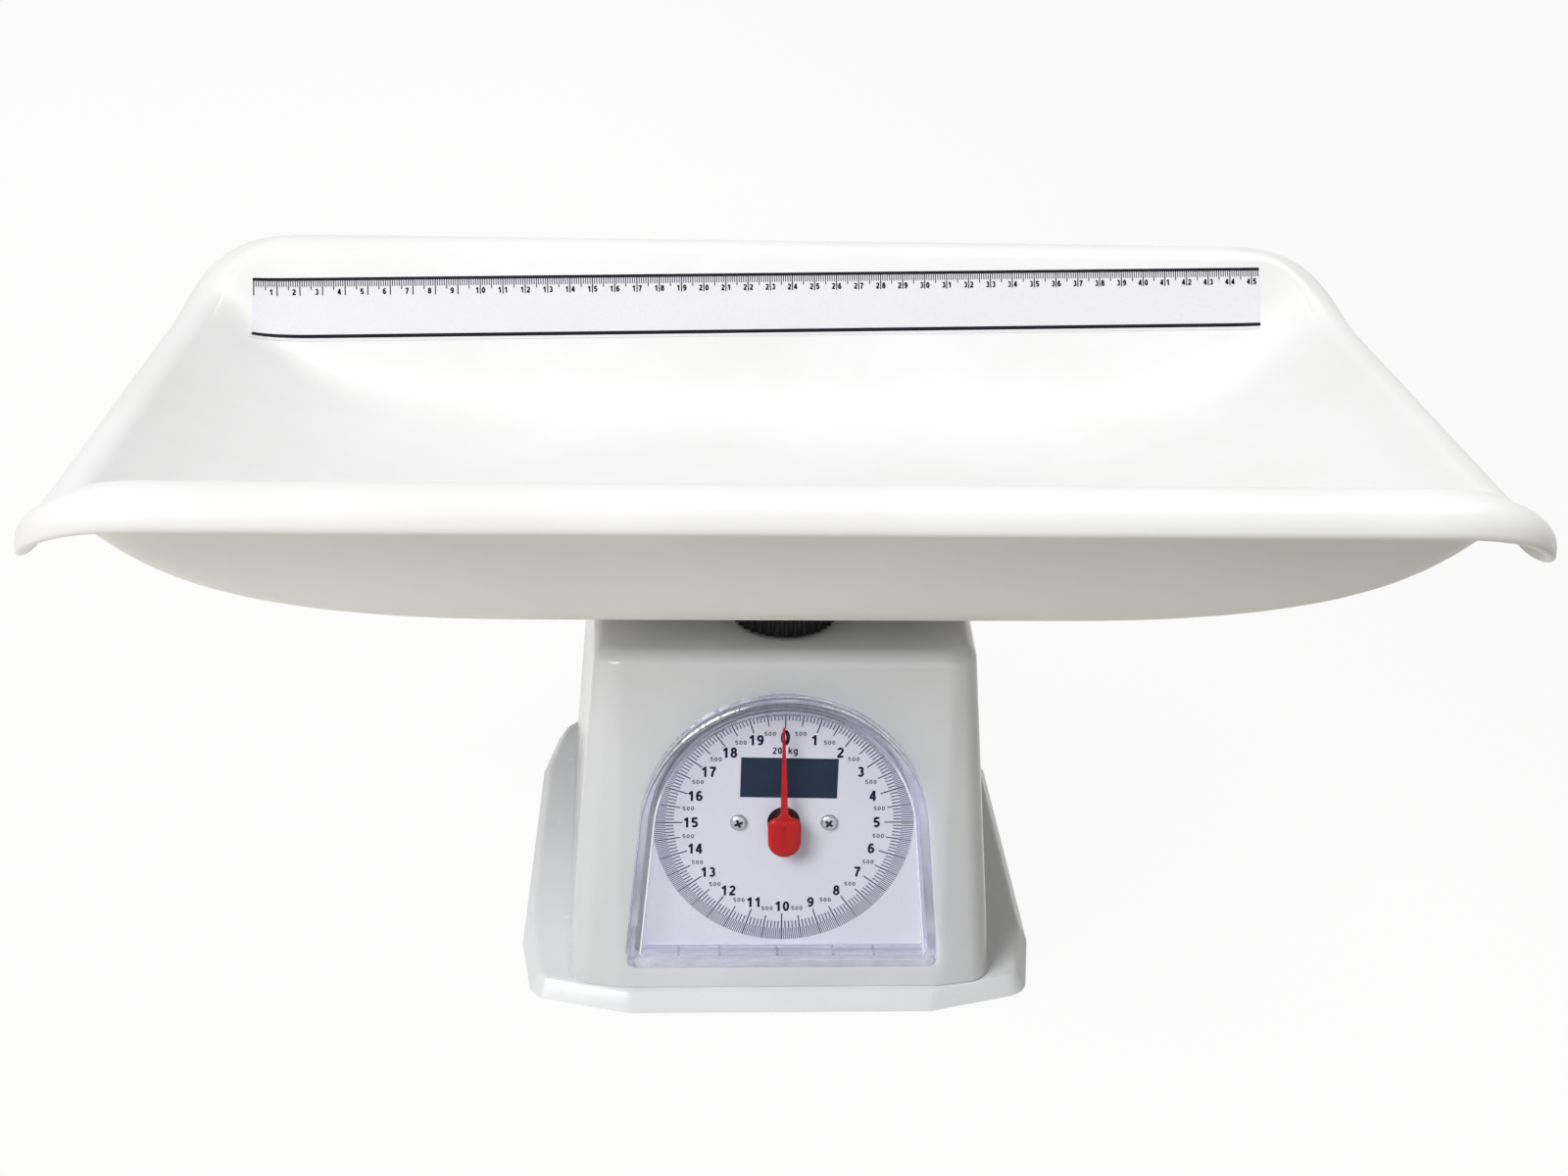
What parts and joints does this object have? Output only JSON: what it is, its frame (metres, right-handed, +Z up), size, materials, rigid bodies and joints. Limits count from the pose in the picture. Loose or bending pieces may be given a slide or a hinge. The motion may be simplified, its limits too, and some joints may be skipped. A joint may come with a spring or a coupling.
{
  "type": "baby scale",
  "caption": "Mechanical spring dial baby scale: a long rolled-rim tray on a box housing, whose rack and pinion turn a dial pointer.",
  "frame": {"origin": "centre of the base on the surface the scale stands on, level with the bottoms of the rubber feet", "axes": "+X to the right of someone reading the dial, along the tray; +Y away from the reader; +Z up"},
  "size_m": [0.528, 0.3094, 0.244],
  "materials": {
    "tray_plastic": "glossy white",
    "rule_film": "satin printed film",
    "housing_plastic": "glossy ivory",
    "plinth_plastic": "glossy ivory",
    "clear_plastic": "clear moulded",
    "dial_card": "satin print",
    "pointer_red": "glossy red",
    "black_plastic": "moulded",
    "zinc_steel": "zinc plated",
    "spring_steel": "drawn wire",
    "turned_brass": "turned",
    "black_rubber": "moulded"
  },
  "bodies": {
    "base": {"plinth": "plinth_plastic", "bottom_plate": "zinc_steel", "rubber_feet": "black_rubber", "foot_screws": "zinc_steel", "housing": "housing_plastic", "housing_screws": "zinc_steel", "chassis": "zinc_steel", "chassis_screws": "zinc_steel", "frame_pins": "zinc_steel", "overload_stop": "zinc_steel", "stop_pad": "black_rubber", "dial_backplate": "zinc_steel", "dial_card": "dial_card", "dial_screws": "zinc_steel", "dial_window": "clear_plastic", "movement_frame": "zinc_steel", "shaft_bushes": "turned_brass"},
    "platform": {"tray": "tray_plastic", "length_strip": "rule_film", "tray_pads": "black_rubber", "tray_screws": "zinc_steel", "tray_carrier": "black_plastic", "carrier_bolt": "zinc_steel", "column": "zinc_steel", "column_pins": "zinc_steel", "spring_arm": "zinc_steel", "arm_screws": "zinc_steel", "spring_bar": "zinc_steel", "rack": "turned_brass", "rack_screw": "zinc_steel", "main_springs": "spring_steel"},
    "pointer_shaft": {"pinion_shaft": "zinc_steel", "pinion": "turned_brass", "pointer_hub": "turned_brass", "pointer": "pointer_red"},
    "zero_adjuster": {"zero_wheel": "black_plastic", "zero_spindle": "zinc_steel", "spindle_clip": "spring_steel"},
    "yoke": {"spring_yoke": "zinc_steel"},
    "upper_parallel_link": {"upper_link": "zinc_steel"},
    "lower_parallel_link": {"lower_link": "zinc_steel"}
  },
  "joints": [
    {"name": "platform_slide", "type": "slide", "parent": "base", "child": "platform", "axis": [0, 0, -1], "range_m": [0, 0.01269], "stiffness_N_per_m": 15460, "springref_m": -0.0009, "deforming": ["main_springs"]},
    {"name": "pointer_turn", "type": "hinge", "parent": "base", "child": "pointer_shaft", "pos_m": [0, -0.0878, 0.079], "axis": [0, 0.9903, -0.1392], "range_deg": [0, 360.1]},
    {"name": "upper_link_swing", "type": "hinge", "parent": "base", "child": "upper_parallel_link", "pos_m": [0, 0.04455, 0.10165], "axis": [1, 0, 0], "range_deg": [0, 16.3]},
    {"name": "lower_link_swing", "type": "hinge", "parent": "base", "child": "lower_parallel_link", "pos_m": [0, 0.04455, 0.03966], "axis": [1, 0, 0], "range_deg": [0, 16.3]},
    {"name": "zero_wheel_turn", "type": "hinge", "parent": "base", "child": "zero_adjuster", "pos_m": [0, -0.046, 0.153], "axis": [0, 0, 1], "range_deg": [-360, 360]},
    {"name": "yoke_lift", "type": "slide", "parent": "base", "child": "yoke", "axis": [0, 0, 1], "range_m": [-0.001, 0.001]}
  ],
  "couplings": [
    {"joint": "pointer_turn", "follows": "platform_slide", "rad_per_m": 495.13},
    {"joint": "upper_link_swing", "follows": "platform_slide", "rad_per_m": 22.297},
    {"joint": "lower_link_swing", "follows": "platform_slide", "rad_per_m": 22.297},
    {"joint": "yoke_lift", "follows": "zero_wheel_turn", "m_per_rad": -0.000159}
  ]
}
